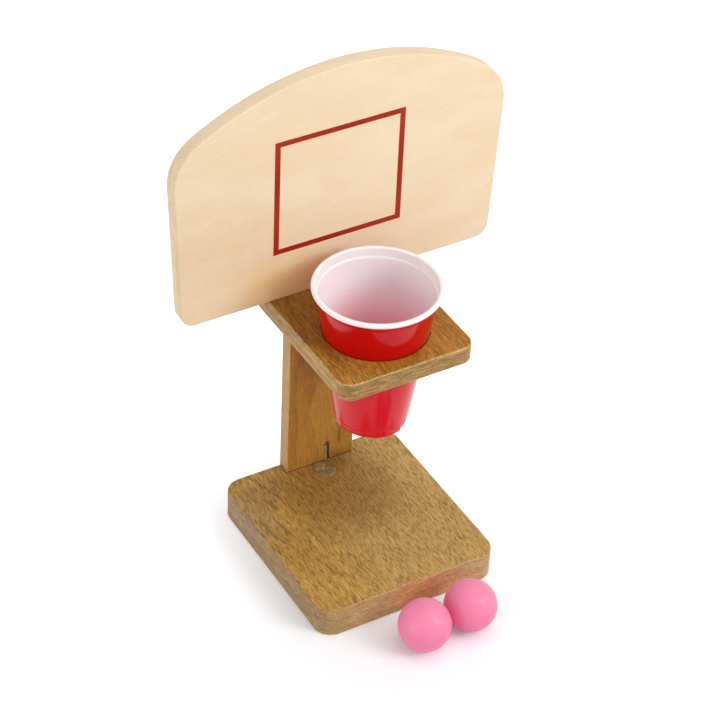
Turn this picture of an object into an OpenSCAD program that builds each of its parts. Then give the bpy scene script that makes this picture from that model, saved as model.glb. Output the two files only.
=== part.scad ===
// Tabletop basketball game: a wooden stand with a backboard and a party cup for a hoop, and two balls.
// Millimetres, +Z up. The origin is the middle of the base board's underside, and the player sits towards -Y.

/* [Base board] */
// Width of the base board, side to side
base_w = 150; // [130:1:220]
// Depth of the base board, front to back
base_d = 162; // [150:1:240]
// Thickness of the base board
base_t = 25; // [18:0.5:40]
// Radius of the base board's upright corners
base_corner_r = 14; // [5:0.5:30]
// Radius of the eased edges along the faces of the base board and the shelf
edge_r = 1.5; // [0.5:0.1:3]

/* [Post] */
// Width of the post, side to side
post_w = 58; // [48:0.5:90]
// Thickness of the post, front to back
post_t = 12; // [10:0.5:20]
// How far the post runs up behind the backboard
post_overlap = 88; // [60:1:120]
// How far the post stands to the right of the base board's middle
post_offset = 5; // [-20:0.5:20]
// Radius of the eased edges along the post
post_edge_r = 0.8; // [0.2:0.1:2]

/* [Hoop shelf] */
// Height of the shelf's top above the base board
shelf_height = 184.5; // [150:0.5:260]
// Width of the shelf, side to side
shelf_w = 109; // [100:0.5:160]
// Distance from the post's front face to the shelf's front edge
shelf_reach = 122.5; // [118:0.5:180]
// Thickness of the shelf
shelf_t = 14.8; // [10:0.2:22]
// Radius of the shelf's upright corners
shelf_corner_r = 11; // [4:0.5:20]
// Distance from the shelf's front edge to the cup's axis
hoop_inset = 50.5; // [47:0.5:56]
// Glue gap between the post and each cheek of the shelf's notch
notch_gap = 0.1; // [0.05:0.05:0.5]

/* [Backboard] */
// Width of the backboard along its bottom edge
board_w = 255.5; // [200:0.5:320]
// Height of the backboard at its middle
board_h = 185.5; // [170:0.5:240]
// Thickness of the backboard
board_t = 12.5; // [12:0.5:20]
// How far the backboard's middle lies to the right of the post's
board_shift = 3.5; // [-10:0.5:10]
// Angle by which each side leans outwards, in degrees
board_flare = 2.6; // [0:0.1:6]
// Radius of the arched top
arch_r = 217; // [200:1:260]
// Radius that blends the arch into each side
shoulder_r = 40; // [15:1:50]
// Radius of the two bottom corners
board_corner_r = 11; // [4:0.5:20]
// Width of the chamfer round both faces
board_chamfer = 1; // [0.3:0.1:2]

/* [Painted target] */
// Width of the painted rectangle, outside its lines
target_w = 104.5; // [60:0.5:140]
// Height of the painted rectangle, outside its lines
target_h = 96; // [50:0.5:120]
// Width of the painted line
target_line = 4.2; // [2:0.1:8]
// Height of the rectangle's middle above the backboard's bottom edge
target_rise = 89; // [75:0.5:105]
// How far the rectangle lies to the right of the backboard's middle
target_shift = -3; // [-10:0.5:10]
// Thickness of the paint
paint_t = 0.2; // [0.1:0.05:0.4]

/* [Cup] */
// Height of the cup
cup_h = 120; // [100:1:130]
// Outside diameter of the rolled rim
cup_rim_d = 95; // [95:0.5:100]
// Outside diameter that the tapered wall reaches at the top
cup_mouth_d = 89.5; // [86:0.5:90]
// Outside diameter that the tapered wall reaches at the bottom
cup_base_d = 54; // [44:0.5:62]
// Height of the rim above the shelf's top
cup_stand = 38; // [25:0.5:60]
// Thickness of the cup's coloured outer layer
shell_t = 0.6; // [0.4:0.1:1.2]
// Thickness of the cup's white inner layer
lining_t = 0.6; // [0.4:0.1:1.2]
// Diameter of the roll that forms the rim
rim_roll_d = 3.2; // [2.4:0.1:4]
// Height of the narrower foot of the cup
foot_h = 9; // [5:0.5:14]
// How much each step narrows or widens the cup's radius
cup_step = 0.8; // [0.3:0.1:1.2]
// Depth of the collar under the rim
collar_h = 8; // [6:0.5:14]
// Height of the cup's floor above its foot
floor_rise = 4; // [2:0.5:6]
// Radius of the outer moulded ring in the cup's floor
floor_ring_r = 17; // [10:0.5:18]
// Height of the moulded rings in the cup's floor
floor_ring_h = 0.6; // [0.3:0.1:1]
// Space round the cup in the shelf's hole
cup_clearance = 0.3; // [0.2:0.05:1]

/* [Balls] */
// Diameter of each ball
ball_d = 40; // [36:0.5:44]
// Wall of each hollow ball
ball_wall = 0.5; // [0.4:0.1:1.5]
// Gap between the two balls
ball_gap = 0.4; // [0.3:0.1:3]
// Distance from the base board's front edge to the left ball
ball_lead = 17.8; // [5:0.1:60]
// How far the left ball lies to the right of the base board's middle
ball_shift = -11.5; // [-40:0.5:20]
// Angle of the line through the two balls, in degrees
ball_line_angle = 2.8; // [-20:0.1:30]

/* [Screws] */
// Diameter of the screws' shanks
screw_d = 4; // [3:0.5:4.5]
// Diameter of the screws' heads
screw_head_d = 8; // [6.5:0.5:9]
// Space round each screw in the wood
screw_gap = 0.05; // [0.02:0.01:0.1]
// How deep the heads sit below the wood's surface
head_sink = 0.4; // [0.2:0.1:1.5]
// Distance between the screws of each row
screw_spacing = 32; // [24:0.5:36]
// How far the base board's screws go into the post
base_screw_bite = 26; // [15:1:40]
// How far the shelf's screws go into the shelf
shelf_screw_bite = 22; // [12:1:24]
// How far the backboard's screws go into the backboard
board_screw_bite = 9; // [6:0.5:10]

/* [Foot of the post] */
// Width of the groove in the post's foot
groove_w = 5.5; // [4:0.1:8]
// Height of the groove in the post's foot
groove_h = 19; // [10:0.5:30]
// Depth of the groove in the post's foot
groove_depth = 2.8; // [1:0.1:4]
// How far the groove lies to the right of the post's middle
groove_shift = 5.8; // [0:0.1:6.5]
// Diameter of the dried glue's puddle
puddle_d = 12.5; // [8:0.5:18]
// Height of the dried glue's puddle
puddle_h = 1; // [0.5:0.1:2]
// Distance from the post to the middle of the puddle
puddle_lead = 11.5; // [10:0.5:20]

/* [Hidden] */
// Sides of a full circle
$fn = 120;
// Depth by which a cutting shape reaches past the face that it cuts
over = 1;

// Places, worked out from the sizes above
base_front_y = -base_d / 2;
post_back_y = base_d / 2;
post_front_y = post_back_y - post_t;
post_mid_y = post_back_y - post_t / 2;
post_l = shelf_height + post_overlap;
shelf_top_z = base_t + shelf_height;
shelf_front_y = post_front_y - shelf_reach;
shelf_d = post_back_y - shelf_front_y;
board_front_y = post_front_y - board_t;

// Cup: radii at its foot and mouth, and where its foot stands
cup_axis_y = shelf_front_y + hoop_inset;
cup_foot_z = shelf_top_z + cup_stand - cup_h;
cup_foot_r = cup_base_d / 2;
cup_slope = (cup_mouth_d - cup_base_d) / 2 / cup_h;
collar_z = cup_h - collar_h;
shell_top_z = cup_h - rim_roll_d - 0.2;
hoop_r = wall_r(cup_h - cup_stand) + cup_clearance;

// Screws: a tapered head, a shank and a pointed tip
screw_r = screw_d / 2;
screw_head_r = screw_head_d / 2;
screw_head_h = screw_head_r - screw_r;
screw_tip_l = screw_d * 1.5;
screw_point_r = 0.3;
screw_recess_w = 1.1;
base_screw_l = base_t - head_sink + base_screw_bite;
shelf_screw_l = post_t - head_sink + shelf_screw_bite;
board_screw_l = post_t - head_sink + board_screw_bite;
board_screw_rows = [0.25, 0.8];

// Dried glue: the bead in the groove and the mound that joins it to the puddle
glue_bead_r = min(groove_w * 0.3, (groove_depth - notch_gap) / 2);
glue_mound_r = puddle_lead - puddle_d / 2 + 0.6;
glue_mound_h = puddle_h * 0.8;

wood_dark = [0.66, 0.48, 0.24];
wood_post = [0.68, 0.44, 0.19];
wood_pale = [0.91, 0.80, 0.62];
paint_red = [0.68, 0.13, 0.10];
cup_red = [0.82, 0.09, 0.12];
cup_white = [0.96, 0.92, 0.92];
ball_pink = [0.96, 0.50, 0.70];
screw_steel = [0.72, 0.72, 0.74];
glue_clear = [0.72, 0.66, 0.60];

// Radius of the straight tapered wall at height z above the cup's foot
function wall_r(z) = cup_foot_r + z * cup_slope;

// Rectangle w wide and t high that stands on the x axis, with its corners rounded by e
module eased_section(w, t, e) {
    translate([-w / 2, e]) square([w, t - 2 * e]);
    translate([-w / 2 + e, 0]) square([w - 2 * e, t]);
    for (x = [-w / 2 + e, w / 2 - e], y = [e, t - e])
        translate([x, y]) circle(e);
}

// Half of that rectangle, from the axis out to r, for turning round a corner
module eased_half_section(r, t, e) {
    translate([0, e]) square([r, t - 2 * e]);
    square([r - e, t]);
    for (y = [e, t - e])
        translate([r - e, y]) circle(e);
}

// Flat board with round upright corners and eased edges, its middle over the origin
module eased_board(w, d, t, r, e) {
    rotate([90, 0, 90])
        linear_extrude(height = w - 2 * r, center = true)
            eased_section(d, t, e);
    rotate([90, 0, 0])
        linear_extrude(height = d - 2 * r, center = true)
            eased_section(w, t, e);
    for (turn = [0, 90, 180, 270]) {
        side = [w / 2 - r, d / 2 - r];
        corner = (turn == 0 || turn == 270) ? side[0] : -side[0];
        depth = (turn == 0 || turn == 90) ? side[1] : -side[1];
        translate([corner, depth, 0])
            rotate([0, 0, turn])
                rotate_extrude(angle = 90)
                    eased_half_section(r, t, e);
    }
}

// Wood screw with its head's face at the origin and its tip up +Z, grown by gap for the hole that it cuts
module screw_body(l, gap) {
    head = screw_head_r + gap;
    shank = screw_r + gap;
    rotate_extrude()
        polygon([
            [0, 0], [head, 0], [shank, screw_head_h], [shank, l - screw_tip_l],
            [screw_point_r + gap, l + gap], [0, l + gap]
        ]);
}

// The screw itself, with a cross recess in its head
module wood_screw(l) {
    difference() {
        screw_body(l, 0);
        for (turn = [0, 90])
            rotate([0, 0, turn])
                translate([-screw_r, -screw_recess_w / 2, -over])
                    cube([screw_d, screw_recess_w, over + screw_head_h * 0.8]);
    }
}

// The screw's hole, with room above the sunk head
module screw_hole(l) {
    screw_body(l, screw_gap);
    translate([0, 0, -head_sink - over])
        cylinder(h = head_sink + over, r = screw_head_r + screw_gap);
}

// Places of the screws: up through the base board, and forward through the post
module at_base_screws() {
    for (side = [-1, 1])
        translate([post_offset + side * screw_spacing / 2, post_mid_y, head_sink])
            children();
}

module at_post_back(z) {
    for (side = [-1, 1])
        translate([post_offset + side * screw_spacing / 2, post_back_y - head_sink, z])
            rotate([90, 0, 0])
                children();
}

module at_shelf_screws() {
    at_post_back(shelf_top_z - shelf_t / 2) children();
}

module at_board_screws() {
    for (row = board_screw_rows)
        at_post_back(shelf_top_z + row * post_overlap) children();
}

// Backboard outline from its half width, height and radii: tapered sides, an arch and four round corners
module arched_outline(half_w, h, top_r, blend_r, low_r) {
    lean = tan(board_flare);
    low_x = half_w + low_r * lean - low_r / cos(board_flare);
    // Middle of the blend circle: blend_r inside the side, and inside the arch
    arch_y = h - top_r;
    start = half_w - blend_r / cos(board_flare);
    a = 1 + lean * lean;
    b = 2 * (start * lean - arch_y);
    c = start * start + arch_y * arch_y - (top_r - blend_r) * (top_r - blend_r);
    blend_y = (-b + sqrt(b * b - 4 * a * c)) / (2 * a);
    blend_x = start + blend_y * lean;
    // Where the arch and the side leave the blend circle
    reach = top_r / (top_r - blend_r);
    arch_end = [blend_x * reach, arch_y + (blend_y - arch_y) * reach];
    out = [cos(board_flare), -sin(board_flare)];
    side_top = [blend_x, blend_y] + blend_r * out;
    side_low = [low_x, low_r] + low_r * out;
    half = [[low_x, 0], side_low, side_top, arch_end];
    polygon([for (p = half) p, for (i = [3:-1:0]) [-half[i][0], half[i][1]]]);
    for (side = [-1, 1]) {
        translate([side * low_x, low_r]) circle(low_r);
        translate([side * blend_x, blend_y]) circle(blend_r);
    }
    intersection() {
        translate([0, arch_y]) circle(top_r, $fn = 240);
        translate([-arch_end[0], arch_end[1]]) square([2 * arch_end[0], h]);
    }
}

// The same outline drawn in by a margin all round
module board_outline(margin) {
    shrink = margin / cos(board_flare) - margin * tan(board_flare);
    translate([0, margin])
        arched_outline(
            board_w / 2 - shrink, board_h - 2 * margin,
            arch_r - margin, shoulder_r - margin, board_corner_r - margin
        );
}

// Rounded cap of a sphere, r wide and h high, lying on the base board
module glue_cap(r, h) {
    sphere_r = (r * r + h * h) / (2 * h);
    intersection() {
        translate([0, 0, h - sphere_r]) sphere(sphere_r);
        cylinder(h = h + over, r = r + over);
    }
}

module base_board() {
    color(wood_dark)
        difference() {
            eased_board(base_w, base_d, base_t, base_corner_r, edge_r);
            at_base_screws() screw_hole(base_screw_l);
        }
}

module post() {
    color(wood_post)
        difference() {
            translate([post_offset, post_back_y, base_t])
                linear_extrude(height = post_l)
                    translate([0, -post_t]) eased_section(post_w, post_t, post_edge_r);
            at_base_screws() screw_hole(base_screw_l);
            at_shelf_screws() screw_hole(shelf_screw_l);
            at_board_screws() screw_hole(board_screw_l);
            foot_groove();
        }
}

// Groove with a round top, open at the foot of the post
module foot_groove() {
    translate([post_offset + groove_shift, post_front_y - over, base_t])
        rotate([-90, 0, 0])
            linear_extrude(height = groove_depth + over) {
                translate([0, -(groove_h - groove_w / 2)]) circle(groove_w / 2);
                translate([-groove_w / 2, -(groove_h - groove_w / 2)])
                    square([groove_w, groove_h - groove_w / 2 + over]);
            }
}

module hoop_shelf() {
    color(wood_dark)
        difference() {
            translate([post_offset, shelf_front_y + shelf_d / 2, shelf_top_z - shelf_t])
                eased_board(shelf_w, shelf_d, shelf_t, shelf_corner_r, edge_r);
            translate([post_offset, cup_axis_y, shelf_top_z - shelf_t - over])
                cylinder(h = shelf_t + 2 * over, r = hoop_r);
            translate([post_offset - post_w / 2 - notch_gap, post_front_y, shelf_top_z - shelf_t - over])
                cube([post_w + 2 * notch_gap, post_t + over, shelf_t + 2 * over]);
            at_shelf_screws() screw_hole(shelf_screw_l);
        }
}

module backboard() {
    color(wood_pale)
        difference() {
            translate([post_offset + board_shift, post_front_y, shelf_top_z])
                rotate([90, 0, 0])
                    hull() {
                        linear_extrude(height = board_t) board_outline(board_chamfer);
                        translate([0, 0, board_chamfer])
                            linear_extrude(height = board_t - 2 * board_chamfer) board_outline(0);
                    }
            at_board_screws() screw_hole(board_screw_l);
        }
}

module target_square() {
    target_x = post_offset + board_shift + target_shift;
    color(paint_red)
        translate([target_x, board_front_y, shelf_top_z + target_rise])
            rotate([90, 0, 0])
                linear_extrude(height = paint_t)
                    difference() {
                        square([target_w, target_h], center = true);
                        square([target_w - 2 * target_line, target_h - 2 * target_line], center = true);
                    }
}

// Turns a profile round the cup's axis, with its foot where the cup stands
module turned_in_cup() {
    translate([post_offset, cup_axis_y, cup_foot_z])
        rotate_extrude()
            children();
}

// Points up the cup's wall from height low to height high, drawn in by inset: foot, taper and collar
function cup_wall(low, high, inset) = [
    [wall_r(low) - cup_step - inset, low],
    [wall_r(foot_h) - cup_step - inset, foot_h],
    [wall_r(foot_h + cup_step) - inset, foot_h + cup_step],
    [wall_r(collar_z) - inset, collar_z],
    [wall_r(collar_z + cup_step) + cup_step - inset, collar_z + cup_step],
    [wall_r(high) + cup_step - inset, high]
];

// The same points from the top down
function downwards(points) = [for (i = [len(points) - 1:-1:0]) points[i]];

module cup_shell() {
    floor_z = floor_rise + shell_t;
    foot = cup_wall(0, shell_top_z, 0);
    inside = cup_wall(floor_z, shell_top_z, shell_t);
    color(cup_red)
        turned_in_cup()
            polygon([
                each foot, each downwards(inside), [0, floor_z], [0, floor_rise],
                [wall_r(floor_rise) - cup_step - shell_t, floor_rise],
                [wall_r(0) - cup_step - shell_t, 0]
            ]);
}

module cup_lining() {
    floor_low = floor_rise + shell_t;
    floor_top = floor_low + lining_t;
    roll_r = rim_roll_d / 2;
    roll_z = cup_h - roll_r;
    outside = cup_wall(floor_low, roll_z, shell_t);
    inside = cup_wall(floor_top, roll_z, shell_t + lining_t);
    color(cup_white)
        turned_in_cup() {
            polygon([[0, floor_low], each outside, each downwards(inside), [0, floor_top]]);
            translate([cup_rim_d / 2 - roll_r, roll_z]) circle(roll_r);
            // Web that carries the roll on the wall
            translate([wall_r(roll_z) + cup_step - shell_t - lining_t, roll_z - lining_t / 2])
                square([cup_rim_d / 2 - roll_r - wall_r(roll_z) - cup_step + shell_t + lining_t, lining_t]);
            for (r = [floor_ring_r / 2, floor_ring_r])
                translate([r, floor_top - lining_t / 2])
                    square([2 * floor_ring_h, lining_t / 2 + floor_ring_h]);
        }
}

// Hollow ball lying on the table, its middle over the point x, y
module ball(x, y) {
    color(ball_pink)
        translate([x, y, ball_d / 2])
            difference() {
                sphere(ball_d / 2);
                sphere(ball_d / 2 - ball_wall);
            }
}

ball_left_y = base_front_y - ball_lead - ball_d / 2;
ball_apart = ball_d + ball_gap;

module ball_left() {
    ball(ball_shift, ball_left_y);
}

module ball_right() {
    ball(
        ball_shift + ball_apart * cos(ball_line_angle),
        ball_left_y + ball_apart * sin(ball_line_angle)
    );
}

module base_screws() {
    color(screw_steel) at_base_screws() wood_screw(base_screw_l);
}

module shelf_screws() {
    color(screw_steel) at_shelf_screws() wood_screw(shelf_screw_l);
}

module board_screws() {
    color(screw_steel) at_board_screws() wood_screw(board_screw_l);
}

module glue_drop() {
    color(glue_clear)
        translate([post_offset, post_front_y, base_t]) {
            translate([0, -puddle_lead, 0]) glue_cap(puddle_d / 2, puddle_h);
            intersection() {
                translate([groove_shift / 3, -glue_mound_r / 2, 0]) glue_cap(glue_mound_r, glue_mound_h);
                translate([-puddle_d, -puddle_lead, 0]) cube([2 * puddle_d, puddle_lead, puddle_h]);
            }
            translate([groove_shift - groove_w / 2 + glue_bead_r + notch_gap, glue_bead_r, 0]) {
                cylinder(h = groove_h * 0.75, r = glue_bead_r);
                translate([0, 0, groove_h * 0.75]) sphere(glue_bead_r);
            }
        }
}

base_board();
post();
hoop_shelf();
backboard();
target_square();
cup_shell();
cup_lining();
ball_left();
ball_right();
base_screws();
shelf_screws();
board_screws();
glue_drop();
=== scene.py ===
"""Looks of a tabletop basketball game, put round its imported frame.

Metres, +Z up. The origin is the middle of the base board's underside, and the player sits towards -Y.
"""
import math

import bmesh
import bpy
import numpy as np
from mathutils import Matrix, Vector


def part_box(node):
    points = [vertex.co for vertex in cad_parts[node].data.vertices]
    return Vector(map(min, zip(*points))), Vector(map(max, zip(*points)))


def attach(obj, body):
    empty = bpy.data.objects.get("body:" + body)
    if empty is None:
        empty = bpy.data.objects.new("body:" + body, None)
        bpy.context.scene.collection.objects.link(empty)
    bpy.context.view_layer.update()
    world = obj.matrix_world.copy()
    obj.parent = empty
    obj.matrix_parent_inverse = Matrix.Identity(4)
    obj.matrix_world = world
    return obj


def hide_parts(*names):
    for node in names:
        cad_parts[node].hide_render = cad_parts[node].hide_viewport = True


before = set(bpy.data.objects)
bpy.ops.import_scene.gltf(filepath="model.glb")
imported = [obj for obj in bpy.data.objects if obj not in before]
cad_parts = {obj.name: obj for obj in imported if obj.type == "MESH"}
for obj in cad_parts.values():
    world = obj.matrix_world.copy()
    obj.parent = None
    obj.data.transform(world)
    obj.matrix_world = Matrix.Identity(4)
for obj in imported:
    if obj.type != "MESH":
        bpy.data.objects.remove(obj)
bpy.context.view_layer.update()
MM = 0.001

# Camera, with its angles in degrees, and its lens and sensor in millimetres

CAMERA_AZIMUTH = -31.53
CAMERA_ELEVATION = 38.87
CAMERA_ROLL = -2.75
CAMERA_LENS = 124.7
CAMERA_SENSOR = 36
CAMERA_NEAR = 0.1
CAMERA_TARGET = Vector((0, 0, 0.12))
CAMERA_OFFSET = Vector((-0.0020, 0.0456, 1.8395))


def make_camera():
    """Camera that looks back along a direction given by its azimuth and elevation, and is rolled about it.

    Its offset from the target is in its own axes: right, up and back."""
    azimuth, elevation, roll = map(math.radians, (CAMERA_AZIMUTH, CAMERA_ELEVATION, CAMERA_ROLL))
    level = math.cos(elevation)
    back = Vector((math.sin(azimuth) * level, -math.cos(azimuth) * level, math.sin(elevation)))
    side = Vector((math.cos(azimuth), math.sin(azimuth), 0))
    upright = back.cross(side)
    right = math.cos(roll) * side - math.sin(roll) * upright
    up = math.sin(roll) * side + math.cos(roll) * upright
    turn = Matrix((right, up, back)).transposed()
    data = bpy.data.cameras.new("camera")
    data.lens = CAMERA_LENS
    data.sensor_width = CAMERA_SENSOR
    data.clip_start = CAMERA_NEAR
    camera = bpy.data.objects.new("camera", data)
    camera.matrix_world = Matrix.Translation(CAMERA_TARGET + turn @ CAMERA_OFFSET) @ turn.to_4x4()
    bpy.context.scene.collection.objects.link(camera)
    bpy.context.scene.camera = camera


# Node trees

SOCKET_KINDS = {1: "NodeSocketFloat", 3: "NodeSocketVector", 4: "NodeSocketColor"}


class Shading:
    """Short ways to add nodes to one tree. Each returns the output socket that is used most."""

    def __init__(self, tree):
        self.tree = tree

    def add(self, kind, inputs=(), output=0, **settings):
        """Node of a kind, with settings as attributes and inputs as {name or number: value or socket}."""
        node = self.tree.nodes.new(kind)
        for name, value in settings.items():
            setattr(node, name, value)
        for key, value in dict(inputs).items():
            if isinstance(value, bpy.types.NodeSocket):
                self.link(value, node.inputs[key])
            else:
                node.inputs[key].default_value = value
        return node.outputs[output] if output is not None else node

    def link(self, source, target):
        self.tree.links.new(source, target)

    def math(self, operation, *values, clamp=False):
        return self.add("ShaderNodeMath", enumerate(values), operation=operation, use_clamp=clamp)

    def vector(self, operation, *values, output=0):
        return self.add("ShaderNodeVectorMath", enumerate(values), output, operation=operation)

    def scaled(self, vector, x, y, z):
        return self.vector("MULTIPLY", vector, (x, y, z))

    def times(self, vector, factor):
        """Vector or colour times one number that changes over the surface."""
        return self.add("ShaderNodeVectorMath", {0: vector, 3: factor}, operation="SCALE")

    def number(self, vector, i):
        """Number 0, 1 or 2 of a vector or colour."""
        return self.add("ShaderNodeSeparateXYZ", {0: vector}, i)

    def mix(self, factor, a, b):
        """Colour a where factor is 0, b where it is 1."""
        return self.add("ShaderNodeMix", {0: factor, 6: a, 7: b}, 2, data_type="RGBA")

    def ease(self, value, low, high, start=0.0, end=1.0):
        """Smooth step of value from low to high, onto start to end."""
        inputs = {"Value": value, "From Min": low, "From Max": high, "To Min": start, "To Max": end}
        return self.add("ShaderNodeMapRange", inputs, interpolation_type="SMOOTHSTEP")

    def noise(self, vector, scale, detail, roughness=0.5):
        inputs = {"Vector": vector, "Scale": scale, "Detail": detail, "Roughness": roughness}
        return self.add("ShaderNodeTexNoise", inputs)

    def group(self, placed, inputs):
        """Outputs, by name, of a node group that is placed here with these inputs."""
        return self.add("ShaderNodeGroup", inputs, None, node_tree=placed).outputs


def effect(name, inputs, outputs):
    """Empty node group, its Shading and its two ends.

    inputs is {name: default}, where 3 numbers are a vector and 4 a colour, and outputs is {name: kind}."""
    group = bpy.data.node_groups.new(name, "ShaderNodeTree")
    for label, value in inputs.items():
        kind = SOCKET_KINDS[np.size(value)]
        group.interface.new_socket(label, in_out="INPUT", socket_type=kind).default_value = value
    for label, kind in outputs.items():
        group.interface.new_socket(label, in_out="OUTPUT", socket_type="NodeSocket" + kind)
    given = group.nodes.new("NodeGroupInput").outputs
    result = group.nodes.new("NodeGroupOutput").inputs
    return group, Shading(group), given, result


# Cells in a metre of timber, across its fibres and along them. Some become pores and some flecks.
CELLS_ACROSS = 1500
CELLS_ALONG = 145
# Noise of the long and of the short fibres: its scale, and the share of that scale along the fibres
LONG_FIBRES = 1000.0
LONG_DRAWN = 0.05
SHORT_FIBRES = 1400.0
SHORT_DRAWN = 0.12


def timber_effect():
    """Solid wood with its fibres along Y and the tree's heart on the line x = z = 0.

    The growth rings are bands of the distance from the heart, bent by slow noise and leaning along Y,
    each with a thin line at its end. Fibres are noise stretched along Y, long ones and short ones. The
    pores are long cells cut down to a core, more of them early in each ring, and other cells are pale
    flecks. Away from the heart the wood turns pale."""
    group, s, given, result = effect(
        "Timber",
        {
            "Point": (0.0, 0.0, 0.0), "Early": (0.3, 0.2, 0.1, 1.0), "Late": (0.4, 0.3, 0.1, 1.0),
            "Ring Width": 0.003, "Ring Lean": 0.1, "Ring Bend": 0.006, "Ring Strength": 0.5,
            "Line Colour": (0.2, 0.1, 0.05, 1.0), "Line Strength": 0.3,
            "Fibre": 0.3, "Pore Colour": (0.1, 0.05, 0.02, 1.0), "Pores": 0.5,
            "Fleck Colour": (0.6, 0.4, 0.2, 1.0), "Flecks": 0.1,
            "Pale Colour": (0.5, 0.3, 0.1, 1.0), "Pale From": 0.5, "Pale To": 0.6,
            "Patch Colour": (0.5, 0.3, 0.1, 1.0), "Patches": 0.3,
        },
        {"Colour": "Color", "Ring": "Float", "Fibre": "Float", "Pore": "Float", "Height": "Float"},
    )
    point = given["Point"]
    x, y, z = (s.number(point, i) for i in range(3))

    def drawn(share, scale, detail, roughness=0.5):
        """Noise with only that share of its scale along the fibres."""
        return s.noise(s.scaled(point, 1, share, 1), scale, detail, roughness)

    slow = s.math("SUBTRACT", drawn(0.30, 26.0, 1.0), 0.5)
    quick = s.math("SUBTRACT", drawn(0.25, 150.0, 2.0), 0.5)
    bend = s.math("MULTIPLY", s.math("MULTIPLY_ADD", quick, 0.22, slow), given["Ring Bend"])
    distance = s.vector("LENGTH", s.add("ShaderNodeCombineXYZ", {0: x, 2: z}), output=1)
    leaned = s.math("MULTIPLY_ADD", y, given["Ring Lean"], s.math("MULTIPLY_ADD", bend, 2.0, distance))
    saw = s.math("FRACT", s.math("DIVIDE", leaned, given["Ring Width"]))
    ring = s.math("MULTIPLY", s.ease(saw, 0.0, 0.7), s.ease(saw, 1.0, 0.9))
    line = s.math("MULTIPLY", s.ease(saw, 0.70, 0.88), s.ease(saw, 1.0, 0.92))
    broken = s.ease(drawn(0.3, 140.0, 1.0), 0.45, 0.58)
    pale = s.ease(distance, given["Pale From"], given["Pale To"])
    inner = s.math("MULTIPLY", s.math("SUBTRACT", 1.0, pale), given["Line Strength"])
    line = s.math("MULTIPLY", s.math("MULTIPLY", line, broken), inner)

    long = drawn(LONG_DRAWN, LONG_FIBRES, 2.0, 0.6)
    short = drawn(SHORT_DRAWN, SHORT_FIBRES, 0.0)
    half = s.math("MULTIPLY", short, 0.5)
    fibre = s.ease(s.math("MULTIPLY_ADD", long, 0.5, half), 0.39, 0.61)
    lengths = s.scaled(point, CELLS_ACROSS, CELLS_ALONG, CELLS_ACROSS)
    cells = s.add("ShaderNodeTexVoronoi", {"Vector": lengths, "Scale": 1.0}, None).outputs
    core = s.ease(cells["Distance"], 0.48, 0.28)
    chance = s.number(cells["Color"], 0)
    fewer = s.math("MULTIPLY", s.math("MULTIPLY_ADD", ring, -0.35, 1.0), given["Pores"])
    pore = s.math("MULTIPLY", core, s.math("LESS_THAN", chance, fewer))
    others = s.math("SUBTRACT", 1.0, given["Flecks"])
    fleck = s.math("MULTIPLY", core, s.math("GREATER_THAN", chance, others))
    patch = s.ease(drawn(0.35, 38.0, 2.0), 0.40, 0.64)

    colour = s.mix(s.math("MULTIPLY", ring, given["Ring Strength"]), given["Early"], given["Late"])
    colour = s.mix(s.math("MULTIPLY", patch, given["Patches"]), colour, given["Patch Colour"])
    colour = s.mix(pale, colour, given["Pale Colour"])
    colour = s.mix(line, colour, given["Line Colour"])
    dim = s.math("MULTIPLY_ADD", s.math("SUBTRACT", fibre, 0.5), given["Fibre"], 1.0)
    colour = s.times(colour, dim)
    colour = s.mix(s.math("MULTIPLY", pore, 0.49), colour, given["Pore Colour"])
    colour = s.mix(s.math("MULTIPLY", fleck, 0.48), colour, given["Fleck Colour"])
    height = s.math("MULTIPLY_ADD", fibre, 0.25, s.math("SUBTRACT", 1.0, pore))
    made = {"Colour": colour, "Ring": ring, "Fibre": fibre, "Pore": pore, "Height": height}
    for label, socket in made.items():
        s.link(socket, result[label])
    return group


def side_effect():
    """Mask of the dark stripes round a board's sides, as a saw and the layers of the wood leave them.

    Noise is drawn out across the board's axis and kept fine along it, and counts where the normal is
    square to the axis."""
    group, s, given, result = effect(
        "Board Side",
        {"Point": (0.0, 0.0, 0.0), "Normal": (0.0, 0.0, 1.0), "Axis": (0.0, 0.0, 1.0), "Strength": 0.5},
        {"Stripe": "Float"},
    )
    along = s.math("ABSOLUTE", s.vector("DOT_PRODUCT", given["Normal"], given["Axis"], output=1))
    side = s.ease(along, 0.75, 0.2)
    depth = s.math("MULTIPLY", s.vector("DOT_PRODUCT", given["Point"], given["Axis"], output=1), 0.95)
    drawn = s.vector("ADD", s.scaled(given["Point"], 0.07, 0.07, 0.07), s.times(given["Axis"], depth))
    fine = s.noise(drawn, 1700.0, 2.0, 0.6)
    broad = s.noise(drawn, 420.0, 1.0)
    both = s.math("MULTIPLY_ADD", broad, 0.25, s.math("MULTIPLY", fine, 0.75))
    stripe = s.math("MULTIPLY", s.ease(both, 0.62, 0.38), side)
    s.link(s.math("MULTIPLY", stripe, given["Strength"], clamp=True), result["Stripe"])
    return group


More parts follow.
